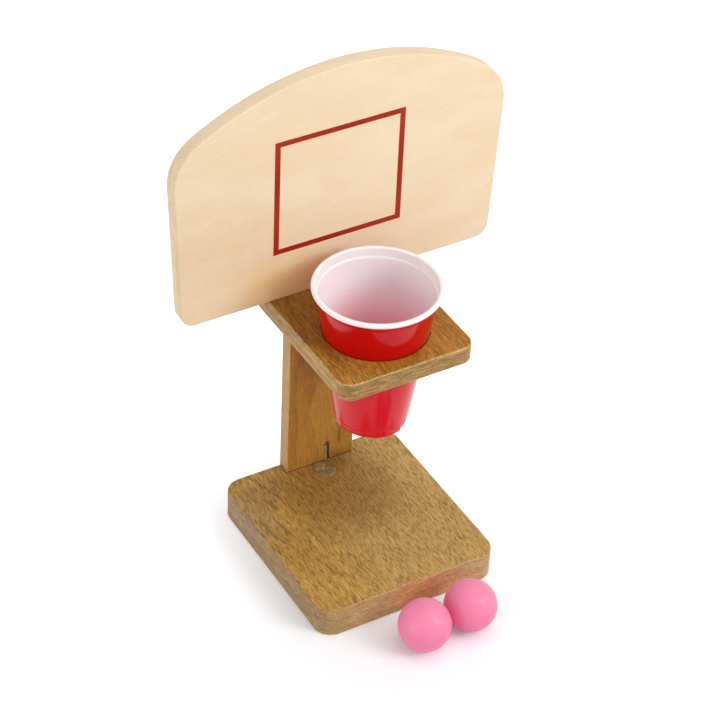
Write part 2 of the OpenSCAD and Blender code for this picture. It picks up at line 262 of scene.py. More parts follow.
def edge_effect():
    """Mask of a board's rounded edges, broken up by noise.

    With c the share of the normal along the board's own axis, it is a smooth step of 2 c times the root
    of 1 less c squared, which is 1 halfway between face and side."""
    group, s, given, result = effect(
        "Edge Wear",
        {"Point": (0.0, 0.0, 0.0), "Normal": (0.0, 0.0, 1.0), "Axis": (0.0, 0.0, 1.0), "Patchiness": 0.5},
        {"Wear": "Float"},
    )
    along = s.math("ABSOLUTE", s.vector("DOT_PRODUCT", given["Normal"], given["Axis"], output=1))
    across = s.math("SQRT", s.math("SUBTRACT", 1.0, s.math("MULTIPLY", along, along), clamp=True))
    edge = s.ease(s.math("MULTIPLY", s.math("MULTIPLY", along, across), 2.0), 0.25, 0.95)
    spots = s.ease(s.noise(given["Point"], 420.0, 3.0, 0.6), 0.42, 0.60)
    kept = s.math("MULTIPLY_ADD", given["Patchiness"], s.math("SUBTRACT", spots, 1.0), 1.0)
    s.link(s.math("MULTIPLY", edge, kept), result["Wear"])
    return group


def skin_effect():
    """Moulded plastic's skin, as height and as roughness.

    The height is a slow unevenness plus a fine tooth, and the roughness rises with the first and in faint
    scuffs."""
    group, s, given, result = effect(
        "Moulded Skin",
        {"Point": (0.0, 0.0, 0.0), "Roughness": 0.2, "Unevenness": 0.1, "Tooth": 0.1},
        {"Roughness": "Float", "Height": "Float"},
    )
    slow = s.noise(given["Point"], 45.0, 1.0)
    tooth = s.noise(given["Point"], 1900.0, 2.0)
    scuffs = s.ease(s.noise(given["Point"], 300.0, 3.0, 0.7), 0.55, 0.75)
    rough = s.math("MULTIPLY_ADD", scuffs, 0.03, given["Roughness"])
    height = s.math("MULTIPLY_ADD", slow, given["Unevenness"], s.math("MULTIPLY", tooth, given["Tooth"]))
    s.link(s.math("MULTIPLY_ADD", slow, 0.05, rough), result["Roughness"])
    s.link(height, result["Height"])
    return group


TIMBER = timber_effect()
EDGE = edge_effect()
SIDE = side_effect()
SKIN = skin_effect()

# Materials

# What the stripes round a board's sides multiply its colour by
STRIPE_SHADE = (0.55, 0.48, 0.36)


def material(name, inputs):
    """Material with these constants on its Principled BSDF's sockets, its Shading and its coordinates."""
    made = bpy.data.materials.new(name)
    made.use_nodes = True
    shader = made.node_tree.nodes["Principled BSDF"]
    for key, value in inputs.items():
        shader.inputs[key].default_value = value
    s = Shading(made.node_tree)
    where = s.add("ShaderNodeTexCoord", output=None).outputs
    return made, shader, s, where


def bump(s, shader, height, depth):
    """Raises the surface by height, a value around 0 to 1, times depth in metres."""
    normal = s.add("ShaderNodeBump", {"Height": height, "Distance": depth, "Strength": 1.0})
    s.link(normal, shader.inputs["Normal"])


def stained_and_shaded(s, point, colour, place, reach, shade, clear=1.5, full=0.6, wander=0.6):
    """Colour times shade round place, in an ellipsoid with half-axes reach, for the wood's own colour and
    painted shade alike.

    It is at full strength up to the share full of the way out to that ellipsoid and gone at the share
    clear, and noise, times wander, is added to the way out."""
    far = s.vector("LENGTH", s.vector("DIVIDE", s.vector("SUBTRACT", point, place), reach), output=1)
    far = s.math("MULTIPLY_ADD", s.noise(point, 70.0, 2.0), wander, far)
    return s.mix(s.ease(far, clear, full), colour, s.vector("MULTIPLY", colour, shade))


def wood(name, turn, heart, axis, timber, sides, stripes, edge_colour, edge_wear, roughness, depth, stains_and_shades):
    """Wood of one board. turn brings its fibres onto Y, and heart is where the tree's heart then lies.

    axis is the direction of the board's thickness. sides has, for the faces that look along X and those
    that look along Y, the cut wood's two colours or nothing. stripes and edge_wear are the strengths of
    the two masks, and depth is the height of the grain. Entries give the wood's own colours and painted
    shade, each as its place, reach and shade, and any of stained's other values."""
    made, shader, s, where = material(name, {"Specular IOR Level": 0.25})
    move = {"Vector": where["Object"], "Rotation": turn, "Location": [-h for h in heart]}
    grain = s.group(TIMBER, {"Point": s.add("ShaderNodeMapping", move), **timber})
    colour = grain["Colour"]
    dim = s.math("MULTIPLY_ADD", grain["Ring"], 0.06, s.math("MULTIPLY_ADD", grain["Fibre"], 0.24, 0.85))
    dim = s.math("MULTIPLY_ADD", grain["Pore"], -0.3, dim)
    blotch = s.ease(s.noise(s.scaled(where["Object"], 1, 1, 2), 24.0, 1.0), 0.42, 0.58)
    for i, cut in enumerate(sides):
        if cut:
            along = s.math("ABSOLUTE", s.number(where["Normal"], i))
            shade = s.times(s.mix(blotch, *((*c, 1) for c in cut)), dim)
            colour = s.mix(s.ease(along, 0.35, 0.95, 0.0, 0.9), colour, shade)
    lie = {"Point": where["Object"], "Normal": where["Normal"], "Axis": axis}
    stripe = s.group(SIDE, {**lie, "Strength": stripes})["Stripe"]
    colour = s.mix(stripe, colour, s.vector("MULTIPLY", colour, STRIPE_SHADE))
    wear = s.group(EDGE, {**lie, "Patchiness": 0.9})["Wear"]
    colour = s.mix(s.math("MULTIPLY", wear, edge_wear), colour, (*edge_colour, 1))
    for stain_and_shade in stains_and_shades:
        colour = stained_and_shaded(s, where["Object"], colour, *stain_and_shade)
    s.link(colour, shader.inputs["Base Color"])
    rough = s.math("MULTIPLY_ADD", grain["Fibre"], 0.12, roughness)
    s.link(s.math("MULTIPLY_ADD", grain["Pore"], 0.25, rough), shader.inputs["Roughness"])
    bump(s, shader, grain["Height"], depth)
    return made


# Turns that bring fibres along Y, Z or X onto Y
ALONG_Y = (0, 0, 0)
ALONG_Z = (math.radians(-90), 0, 0)
ALONG_X = (0, 0, math.radians(90))
# Reach that carries the wood's own colours and painted shade right through the piece
THROUGH = 9
# Radius of the shelf's hole
HOOP_HOLE_R = 0.0394


def make_base_oak():
    """Open-pored oak of the base board, with painted shade of the shelf and cup in front of the post and at
    its foot.

    Its top is also darker at the left rear, with painted shade of the shelf, greyer there and paler at the
    right, and its front face is redder in the middle and duller at the left."""
    front, top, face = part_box("post")[0].y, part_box("base_board")[1].z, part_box("base_board")[0].y
    # Painted shade of the shelf and cup, over the top in front of the post
    shelf_shade_on_base = (0.004, front - 0.034, top), (0.054, 0.062, 0.05), (0.69, 0.58, 0.43)
    # Painted shade in the corner at the post's foot, beside the glue
    foot_shade_on_base = (0.011, front - 0.003, top), (0.019, 0.014, 0.05), (0.72, 0.71, 0.68)
    # Painted shade of the shelf at the left rear of the top
    rear_shade_on_base = (-0.055, 0.055, top), (0.022, 0.018, 0.05), (0.80, 0.80, 0.95)
    grey_left = (-0.068, 0.030, top), (0.015, 0.030, 0.01), (0.88, 0.94, 1.30)
    pale_right = (0.066, 0.025, top), (0.022, 0.035, 0.01), (1.12, 1.16, 1.25)
    red_face = (0.010, face, 0.012), (0.036, 0.005, 0.02), (1.18, 0.89, 0.83)
    dull_face = (-0.066, face, 0.012), (0.018, 0.012, 0.02), (0.80, 0.88, 0.82)
    return wood(
        "oak", turn=ALONG_Y, heart=(-0.125, 0, -0.05), axis=(0, 0, 1),
        timber={
            "Early": (0.515, 0.285, 0.057, 1), "Late": (0.620, 0.363, 0.091, 1), "Ring Width": 0.0060,
            "Ring Lean": 0.10, "Ring Bend": 0.010, "Ring Strength": 0.5,
            "Line Colour": (0.22, 0.095, 0.045, 1), "Line Strength": 0.7, "Fibre": 0.35,
            "Pore Colour": (0.155, 0.068, 0.010, 1), "Pores": 0.66,
            "Fleck Colour": (0.78, 0.56, 0.22, 1), "Flecks": 0.28,
            "Pale Colour": (0.505, 0.310, 0.094, 1), "Pale From": 0.104, "Pale To": 0.150,
            "Patch Colour": (0.40, 0.200, 0.036, 1), "Patches": 0.5,
        },
        sides=[
            [(0.48, 0.34, 0.160), (0.46, 0.28, 0.155)],
            [(0.73, 0.48, 0.227), (0.69, 0.405, 0.197)],
        ],
        stripes=0.70, edge_colour=(0.27, 0.15, 0.06), edge_wear=0.45, roughness=0.42, depth=0.00030,
        stains_and_shades=[shelf_shade_on_base, foot_shade_on_base, rear_shade_on_base, grey_left, pale_right, red_face, dull_face],
    )


def make_shelf_oak():
    """Darker oak of the shelf, with painted shade in the hole round the cup and beside the cup at the left
    rear.
    """
    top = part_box("hoop_shelf")[1].z
    hole = ((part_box("cup_shell")[0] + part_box("cup_shell")[1]) / 2)[:2]
    # Painted shadow in the gap between the hole's wall and the cup
    hole_gap_shade = (*hole, top), (HOOP_HOLE_R, HOOP_HOLE_R, 0.03), (0.25, 0.22, 0.20), 1.016, 1.006, 0
    # Painted shade of the cup on the shelf's top at the left rear
    cup_shade_on_shelf = (-0.045, hole[1] + 0.04, top), (0.030, 0.060, 0.02), (0.70, 0.72, 0.72)
    return wood(
        "shelf oak", turn=ALONG_Y, heart=(0.03, 0, 0.33), axis=(0, 0, 1),
        timber={
            "Early": (0.37, 0.168, 0.021, 1), "Late": (0.45, 0.220, 0.032, 1), "Ring Width": 0.008,
            "Ring Lean": 0.08, "Ring Bend": 0.012, "Ring Strength": 0.6,
            "Line Colour": (0.24, 0.10, 0.02, 1), "Line Strength": 0.35, "Fibre": 0.50,
            "Pore Colour": (0.19, 0.080, 0.013, 1), "Pores": 0.65,
            "Fleck Colour": (0.68, 0.42, 0.12, 1), "Flecks": 0.26,
            "Patch Colour": (0.42, 0.165, 0.024, 1), "Patches": 0.4,
        },
        sides=[
            [(0.67, 0.39, 0.125), (0.61, 0.37, 0.125)],
            [(0.585, 0.355, 0.139), (0.530, 0.320, 0.122)],
        ],
        stripes=1.1, edge_colour=(0.70, 0.52, 0.27), edge_wear=0.6, roughness=0.38, depth=0.00022,
        stains_and_shades=[hole_gap_shade, cup_shade_on_shelf],
    )


def make_post_wood():
    """Smooth wood of the post, dark at its foot, with painted shade under the shelf, greener and streaked at
    the right.
    """
    front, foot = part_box("post")[0].y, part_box("base_board")[1].z
    joint = (0, 0, foot), (THROUGH, THROUGH, 0.0011), (0.22, 0.20, 0.18)
    # Darker low down at the right of the post's front
    dark_low_right = (0.0185, front, foot), (0.018, THROUGH, 0.010), (0.70, 0.66, 0.60)
    # Painted shade of the shelf over the post's upper front, tinted pink
    shelf_shade_on_post = (-0.002, front, 0.165), (0.024, THROUGH, 0.085), (0.68, 0.57, 0.74)
    green_right = (0.028, front, 0.050), (0.014, THROUGH, 0.040), (0.92, 1.0, 0.80)
    dark_streak = (0.0215, front, 0.047), (0.0015, THROUGH, 0.012), (0.60, 0.60, 0.64)
    return wood(
        "post wood", turn=ALONG_Z, heart=(0.03, 0, -0.03), axis=(0, 1, 0),
        timber={
            "Early": (0.45, 0.215, 0.037, 1), "Late": (0.53, 0.285, 0.054, 1), "Ring Width": 0.009,
            "Ring Lean": 0.03, "Ring Bend": 0.010, "Ring Strength": 0.8,
            "Line Colour": (0.30, 0.125, 0.02, 1), "Line Strength": 0.5, "Fibre": 0.20,
            "Pore Colour": (0.28, 0.12, 0.02, 1), "Pores": 0.03, "Flecks": 0.0,
            "Patch Colour": (0.42, 0.175, 0.034, 1), "Patches": 0.55,
        },
        sides=[[(0.61, 0.385, 0.155), (0.56, 0.345, 0.135)], None],
        stripes=0.3, edge_colour=(0.66, 0.45, 0.18), edge_wear=0.6, roughness=0.40, depth=0.00008,
        stains_and_shades=[joint, dark_low_right, shelf_shade_on_post, green_right, dark_streak],
    )


def make_pale_wood():
    """Pale sanded wood of the backboard, duller at the left of its front, with the cup's painted warm shadow
    there.
    """
    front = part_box("backboard")[0].y
    dull_left = (-0.110, front, 0.240), (0.090, 0.006, 0.100), (0.95, 0.92, 0.87)
    # Painted warm shadow of the cup, low on the board beside it
    cup_shadow_on_board = (-0.030, front, 0.217), (0.050, 0.006, 0.036), (1.0, 0.86, 0.60)
    return wood(
        "pale wood", turn=ALONG_X, heart=(0.25, 0, 0.33), axis=(0, 1, 0),
        timber={
            "Early": (0.90, 0.71, 0.485, 1), "Late": (0.92, 0.74, 0.525, 1), "Ring Width": 0.014,
            "Ring Lean": 0.05, "Ring Bend": 0.02, "Ring Strength": 0.8,
            "Line Colour": (0.81, 0.61, 0.39, 1), "Line Strength": 0.18, "Fibre": 0.035,
            "Pore Colour": (0.84, 0.65, 0.43, 1), "Pores": 0.03, "Flecks": 0.0,
            "Patch Colour": (0.885, 0.675, 0.43, 1), "Patches": 0.6,
        },
        sides=[[(0.89, 0.70, 0.47), (0.86, 0.67, 0.44)], None],
        stripes=0.14, edge_colour=(0.82, 0.64, 0.42), edge_wear=0.5, roughness=0.55, depth=0.00004,
        stains_and_shades=[dull_left, cup_shadow_on_board],
    )


def make_paint():
    """Thin red paint on the backboard, with the board's fibres showing through."""
    made, shader, s, where = material("red paint", {"Specular IOR Level": 0.1})
    move = {"Vector": where["Object"], "Rotation": ALONG_X}
    grain = s.group(TIMBER, {"Point": s.add("ShaderNodeMapping", move), "Fibre": 0.3, "Pores": 0.2})
    thin = s.ease(s.noise(where["Object"], 30.0, 2.0), 0.35, 0.7)
    colour = s.mix(thin, (0.37, 0.022, 0.006, 1), (0.43, 0.034, 0.012, 1))
    colour = s.mix(s.math("MULTIPLY", grain["Fibre"], 0.25), colour, (0.30, 0.015, 0.005, 1))
    s.link(colour, shader.inputs["Base Color"])
    s.link(s.math("MULTIPLY_ADD", grain["Fibre"], 0.15, 0.45), shader.inputs["Roughness"])
    bump(s, shader, grain["Height"], 0.00004)
    return made


def moulded(name, shades, roughness, unevenness, tooth, depth, constants):
    """Moulded plastic whose colour runs up the piece.

    shades is [(height in metres, colour), ...] from low to high, and constants go on the shader's own
    sockets."""
    made, shader, s, where = material(name, constants)
    values = {"Point": where["Object"], "Roughness": roughness, "Unevenness": unevenness, "Tooth": tooth}
    skin = s.group(SKIN, values)
    z = s.number(where["Object"], 2)
    colour = (*shades[0][1], 1)
    for (low, _), (high, shade) in zip(shades, shades[1:]):
        colour = s.mix(s.ease(z, low, high), colour, (*shade, 1))
    mottle = s.ease(s.noise(where["Object"], 38.0, 2.0), 0.3, 0.7, 0.97, 1.0)
    s.link(s.times(colour, mottle), shader.inputs["Base Color"])
    s.link(skin["Roughness"], shader.inputs["Roughness"])
    bump(s, shader, skin["Height"], depth)
    return made


def make_steel():
    """Zinc-plated steel: small crystals in two greys, and a fine tooth."""
    made, shader, s, where = material("screw steel", {"Metallic": 1.0})
    crystals = s.add("ShaderNodeTexVoronoi", {"Vector": where["Object"], "Scale": 1600.0}, None).outputs
    shade = s.number(crystals["Color"], 0)
    colour = s.mix(shade, (0.50, 0.51, 0.53, 1), (0.64, 0.64, 0.65, 1))
    s.link(colour, shader.inputs["Base Color"])
    s.link(s.math("MULTIPLY_ADD", shade, 0.14, 0.26), shader.inputs["Roughness"])
    bump(s, shader, s.noise(where["Object"], 2600.0, 2.0), 0.00002)
    return made


def make_glue():
    """Dried clear glue: a clouded body, darker where it lies thin on the base board, with a soft skin."""
    gloss = {"Coat Weight": 0.3, "Coat Roughness": 0.15, "Specular IOR Level": 0.4}
    made, shader, s, where = material("clear glue", gloss)
    board_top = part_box("base_board")[1].z
    cloud = s.ease(s.noise(where["Object"], 260.0, 2.0), 0.35, 0.65)
    thick = s.ease(s.number(where["Object"], 2), board_top + 0.001, board_top + 0.004)
    thin_shade = s.mix(cloud, (0.235, 0.140, 0.068, 1), (0.26, 0.160, 0.083, 1))
    s.link(s.mix(thick, thin_shade, (0.30, 0.19, 0.08, 1)), shader.inputs["Base Color"])
    s.link(s.math("MULTIPLY_ADD", cloud, 0.15, 0.25), shader.inputs["Roughness"])
    bump(s, shader, s.noise(where["Object"], 200.0, 1.0), 0.00004)
    return made


# Surfaces


# Edges that turn by more than this stay sharp
SHARP = math.radians(50)


def grid_faces(rows, columns):
    """Corner numbers of the squares of a grid of points whose last column joins its first."""
    i, j = np.meshgrid(np.arange(rows - 1), np.arange(columns), indexing="ij")
    right = (j + 1) % columns
    corners = [i * columns + j, i * columns + right, (i + 1) * columns + right, (i + 1) * columns + j]
    return np.stack(corners, -1).reshape(-1, 4)


def put_surface(name, sheets):
    """Object at the origin from sheets, each its points, their squares and any faces that close it.

    Doubles merge, the faces are turned outwards, and the sharpest edges stay sharp."""
    points, faces, start = [], [], 0
    for sheet_points, squares, *caps in sheets:
        flat = np.reshape(sheet_points, (-1, 3))
        points.append(flat)
        faces += (squares + start).tolist() + [(cap + start).tolist() for cap in caps]
        start += len(flat)
    mesh = bpy.data.meshes.new(name)
    mesh.from_pydata(np.concatenate(points), [], faces)
    body = bmesh.new()
    body.from_mesh(mesh)
    bmesh.ops.remove_doubles(body, verts=body.verts, dist=1e-6)
    bmesh.ops.recalc_face_normals(body, faces=body.faces)
    body.to_mesh(mesh)
    body.free()
    mesh.shade_smooth()
    mesh.set_sharp_from_angle(angle=SHARP)
    piece = bpy.data.objects.new(name, mesh)
    bpy.context.scene.collection.objects.link(piece)
    return piece


def stand_in(piece, node, body, finish):
    """Gives a piece its finish, hides the CAD node it stands for and hangs it on the body it rides on."""
    piece.data.materials.append(finish)
    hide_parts(node)
    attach(piece, body)


def eased(corners, steps):
    """Path through corners, rows of (r, z, fillet), each between the ends a parabola of steps points.

    The parabola leaves the path fillet before its corner and rejoins it fillet after it, but never takes
    more than 0.45 of the stretch to the next corner."""
    corners = np.asarray(corners, float)
    place, fillet = corners[:, :2], corners[1:-1, 2:]
    before, after = place[:-2] - place[1:-1], place[2:] - place[1:-1]
    reach = [np.linalg.norm(side, axis=1, keepdims=True) for side in (before, after)]
    leave = place[1:-1] + before / reach[0] * np.minimum(fillet, 0.45 * reach[0])
    rejoin = place[1:-1] + after / reach[1] * np.minimum(fillet, 0.45 * reach[1])
    t = np.linspace(0, 1, steps)[None, :, None]
    ends = (1 - t) ** 2 * leave[:, None] + t ** 2 * rejoin[:, None]
    bend = ends + 2 * t * (1 - t) * place[1:-1, None]
    return np.concatenate([place[:1], bend.reshape(-1, 2), place[-1:]])


def around(columns):
    """Row of angles of a full turn."""
    return np.linspace(0, 2 * np.pi, columns, endpoint=False)[None, :]


def turned(profile, centre, columns, swell=0):
    """Profile of rows (r, z) turned about the upright line through centre, and its squares.

    swell, by row and angle, is added to r."""
    angle = around(columns)
    r, z = profile[:, 0:1] + swell, profile[:, 1:2] + 0 * angle
    x, y = r * np.cos(angle), r * np.sin(angle)
    return np.stack([x, y, z], -1) + centre, grid_faces(len(profile), columns)


# Cup, in millimetres from the middle of its foot
CUP_HEIGHT = 120
CUP_FOOT_R = 27
CUP_MOUTH_R = 44.75
CUP_FLOOR = 4
CUP_COLUMNS = 288
# Points of each eased corner
SHELL_STEPS = 5
LINING_STEPS = 4
# Thickness of the red and the white layer, and the gap between them
SHELL_T = 0.6
LINING_T = 0.6
LAYER_GAP = 0.02
# The foot is set in by a step, with a crease at its top, and swells back out between three panels
FOOT_H = 6
FOOT_STEP = 0.5
FOOT_CREASE = 0.5
FOOT_CREASE_START = 0.9
FOOT_CREASE_END = 0.4
FOOT_RING_W = 1.5
FOOT_RING_LEAN = 1
FOOT_PANELS = 3
FOOT_PANEL_HALF = math.radians(34.5)
FOOT_PANEL_AT = math.radians(-152)
FOOT_PANEL_SLOPE = math.radians(5)
# The collar below the rim stands out by a step, over a rise
COLLAR_Z = 112
COLLAR_RISE = 1.2
COLLAR_STEP = 0.8
# The rim is rolled outwards, from one angle in degrees round to another
RIM_R = 47.5
ROLL_R = 1.95
ROLL_TURN = (140, -108)
ROLL_STEPS = 22
# How far below the roll the red layer and the white layer's own edge end
SHELL_BELOW = 0.2
EDGE_BELOW = 0.3
# Raised rings on the lining's floor: their radii, and their outline as (outwards, up)
RING_RADII = (17, 8.5)
RING_OUTLINE = ((1.5, 0), (1.0, 0.6), (0.2, 0.6), (-0.3, 0))
RING_FILLET = 0.25


def wall_r(z):
    """Radius of the straight tapered wall at height z."""
    return CUP_FOOT_R + (CUP_MOUTH_R - CUP_FOOT_R) * z / CUP_HEIGHT


def cup_wall(low, high, inset):
    """Corners up the cup's wall, drawn in by inset: narrower foot, crease, taper and wider collar."""
    foot_r = wall_r(FOOT_H) - FOOT_STEP - inset
    middle = CUP_HEIGHT / 2
    collar_z = COLLAR_Z + COLLAR_RISE
    return [
        (wall_r(low) - FOOT_STEP - inset, low, 0.5),
        (foot_r, FOOT_H - FOOT_CREASE_START, 0.2),
        (foot_r - FOOT_CREASE, FOOT_H - FOOT_CREASE_END, 0.2),
        (wall_r(FOOT_H + FOOT_STEP) - inset, FOOT_H + FOOT_STEP, 0.3),
        (wall_r(middle) - inset, middle, 0.1),
        (wall_r(COLLAR_Z) - inset, COLLAR_Z, 0.8),
        (wall_r(collar_z) + COLLAR_STEP - inset, collar_z, 0.8),
        (wall_r(high) + COLLAR_STEP - inset, high, 0.1),
    ]


def between_panels():
    """For each angle of the cup, 1 between the foot's panels and 0 on them, with a slope at their ends."""
    apart = 2 * np.pi / FOOT_PANELS
    turn = np.abs((around(CUP_COLUMNS) - FOOT_PANEL_AT + apart / 2) % apart - apart / 2)
    return np.clip((turn - FOOT_PANEL_HALF) / FOOT_PANEL_SLOPE + 0.5, 0, 1)


def cup_outer(centre):
    """Red layer: under the raised floor, down the foot's ring, up the wall's outside and down its inside.

    The profile has the set-in foot all round. Between the panels the foot's outside swells back out to
    the wall's own taper, so each point's swell is what its radius falls short of the taper there."""
    top, floor_top = CUP_HEIGHT - 2 * ROLL_R - SHELL_BELOW, CUP_FLOOR + SHELL_T
    ring_in = CUP_FOOT_R - FOOT_STEP - FOOT_RING_W
    under = [(0, CUP_FLOOR, 0), (ring_in - FOOT_RING_LEAN, CUP_FLOOR, 1), (ring_in, 0, 0.4)]
    inside = cup_wall(floor_top, top, SHELL_T)[::-1]
    profile = eased([*under, *cup_wall(0, top, 0), *inside, (0, floor_top, 0)], SHELL_STEPS)
    row, (r, z) = np.arange(len(profile)), profile.T
    # The foot's outside is part of the wall's first four corners, which come after the underside's two
    outside = (row > 2 * SHELL_STEPS) & (row < 6 * SHELL_STEPS) & (z < FOOT_H + FOOT_STEP)
    short = np.maximum(wall_r(z) - r, 0) * outside
    swell = short[:, None] * between_panels()
    return put_surface("cup_outer", [turned(profile * MM, centre, CUP_COLUMNS, swell * MM)])


def cup_inner(centre):
    """White layer: over the ringed floor, up the inside, round the rolled rim and down behind the red one."""
    low = CUP_FLOOR + SHELL_T + LAYER_GAP
    floor_top = CUP_FLOOR + SHELL_T + LINING_T
    roll_z, roll_at = CUP_HEIGHT - ROLL_R, RIM_R - ROLL_R
    rings = [(r + side, floor_top + rise, RING_FILLET) for r in RING_RADII for side, rise in RING_OUTLINE]
    inner = cup_wall(floor_top, roll_z, SHELL_T + LINING_T)
    outer = cup_wall(low, roll_z - EDGE_BELOW, SHELL_T + LAYER_GAP)[::-1]
    turn = np.radians(np.linspace(*ROLL_TURN, ROLL_STEPS))
    roll = np.stack([roll_at + ROLL_R * np.cos(turn), roll_z + ROLL_R * np.sin(turn), 0 * turn], -1)
    corners = [(0, floor_top, 0), *rings[::-1], *inner, *roll, *outer, (0, low, 0)]
    return put_surface("cup_inner", [turned(eased(corners, LINING_STEPS) * MM, centre, CUP_COLUMNS)])


def make_cup():
    """Cup in the shelf's hole: its red and its white layer, each a closed shell."""
    low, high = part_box("cup_shell")
    centre = ((low.x + high.x) / 2, (low.y + high.y) / 2, low.z)
    foot, rim = low.z, low.z + CUP_HEIGHT * MM
    # The red is paler and pinker low on the cup: painted light of the floor's bounce and white reflection
    red = moulded(
        "cup red", [(foot + 0.03, (0.73, 0.008, 0.017)), (foot + 0.07, (0.60, 0.001, 0.003))],
        roughness=0.11, unevenness=0.5, tooth=0.03, depth=0.00012, constants={"Specular IOR Level": 0.21},
    )
    # The white turns deep pink low in the cup: partly the red layer showing through it, partly painted shade
    # and red bounce in the cup's depth
    white = moulded(
        "cup white",
        [(foot + 0.042, (0.97, 0.40, 0.46)), (foot + 0.1, (0.95, 0.87, 0.92)),
         (rim - 0.0095, (0.95, 0.87, 0.91)), (rim - 0.0075, (0.95, 0.90, 0.91))],
        roughness=0.24, unevenness=0.5, tooth=0.03, depth=0.00012, constants={"Specular IOR Level": 0.45},
    )
    stand_in(cup_outer(centre), "cup_shell", "cup", red)
    stand_in(cup_inner(centre), "cup_lining", "cup", white)


# Balls: the tilt of each seam in degrees, and the line that both are tilted about
SEAM_TILTS = {"left": 28, "right": -37}
SEAM_TILT_AXIS = (0.6, 0.8, 0)
# How far a seam stands out, in metres, and half its width, as an angle
SEAM_RISE = 0.00004
SEAM_HALF = math.radians(0.9)
BALL_ROWS = 97
BALL_COLUMNS = 144


def make_balls():
    """Two balls, each a sphere with a faint moulding seam round its tilted waist.

    The radius is the ball's own on the seam, and falls by the seam's rise beside it, along a bell curve
    of the angle from the waist."""
    # The pink deepens towards the floor: painted shade on the balls' lower halves
    pink = moulded(
        "ball pink", [(0.0, (0.91, 0.215, 0.40)), (0.05, (0.91, 0.285, 0.45))],
        roughness=0.34, unevenness=0.6, tooth=0.2, depth=0.00008,
        constants={
            "Specular IOR Level": 0.4, "Subsurface Weight": 0.9, "Subsurface Radius": (0.03, 0.008, 0.012),
            "Subsurface Scale": 1.0, "Sheen Weight": 0.5, "Sheen Roughness": 0.4,
            "Sheen Tint": (1.0, 0.22, 0.42, 1.0),
        },
    )
    rise, angle = np.radians(np.linspace(-90, 90, BALL_ROWS))[:, None], around(BALL_COLUMNS)
    seam = np.exp(-(rise / SEAM_HALF) ** 2)
    squares = grid_faces(BALL_ROWS, BALL_COLUMNS)
    for side, tilt in SEAM_TILTS.items():
        low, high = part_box("ball_" + side)
        centre, radius = np.array((low + high) / 2), (high.z - low.z) / 2
        r = radius - SEAM_RISE * (1 - seam) + 0 * angle
        flat = r * np.cos(rise)
        ball = np.stack([flat * np.cos(angle), flat * np.sin(angle), r * np.sin(rise)], -1)
        tilted = ball @ np.array(Matrix.Rotation(math.radians(tilt), 3, SEAM_TILT_AXIS)).T
        piece = put_surface("ball_" + side + "_moulded", [(tilted + centre, squares)])
        stand_in(piece, "ball_" + side, side + "_ball", pink)


# Backboard, in millimetres: x from its middle, z from its bottom edge
BOARD_W = 255.5
BOARD_H = 185.5
BOARD_FLARE = math.radians(2.6)
ARCH_R = 217
SHOULDER_R = 40
BOARD_CORNER_R = 11
BOARD_EDGE_R = 1.2
# How far in from the rounded edge the last ring on each face lies
BOARD_MARGIN = 0.8
ARC_POINTS = 64
EDGE_STEPS = 6
# The edge's wander: share of its radius, waves' turn in radians for each metre of outline, and start
EDGE_WAVES = [(0.16, 41, 0), (0.12, 97, 1.3)]


def board_outline():
    """Closed outline and its outward directions: low corner, shoulder, arch, shoulder and low corner.

    The arcs meet each other and the straight edges without a kink. A shoulder's middle lies its own
    radius in from the slanting side, and as far from the arch's middle as the arch's radius is larger
    than its own. That makes a quadratic in the middle's height."""
    lean, slant = math.tan(BOARD_FLARE), math.cos(BOARD_FLARE)
    low_x = BOARD_W / 2 + BOARD_CORNER_R * lean - BOARD_CORNER_R / slant
    arch_z = BOARD_H - ARCH_R
    start = BOARD_W / 2 - SHOULDER_R / slant
    a, b = 1 + lean ** 2, 2 * (start * lean - arch_z)
    c = start ** 2 + arch_z ** 2 - (ARCH_R - SHOULDER_R) ** 2
    shoulder_z = (-b + math.sqrt(b * b - 4 * a * c)) / (2 * a)
    shoulder_x = start + shoulder_z * lean
    meet = math.atan2(shoulder_z - arch_z, shoulder_x)
    side = -BOARD_FLARE
    arcs = [
        (low_x, BOARD_CORNER_R, BOARD_CORNER_R, -np.pi / 2, side),
        (shoulder_x, shoulder_z, SHOULDER_R, side, meet),
        (0, arch_z, ARCH_R, meet, np.pi - meet),
        (-shoulder_x, shoulder_z, SHOULDER_R, np.pi - meet, np.pi - side),
        (-low_x, BOARD_CORNER_R, BOARD_CORNER_R, np.pi - side, 3 * np.pi / 2),
    ]
    x, z, r, first, last = np.array(arcs).T[:, :, None]
    angle = first + (last - first) * np.linspace(0, 1, ARC_POINTS)[None, :]
    outward = np.stack([np.cos(angle), np.sin(angle)], -1).reshape(-1, 2)
    points = np.stack([x + r * np.cos(angle), z + r * np.sin(angle)], -1).reshape(-1, 2)
    return points * MM, outward


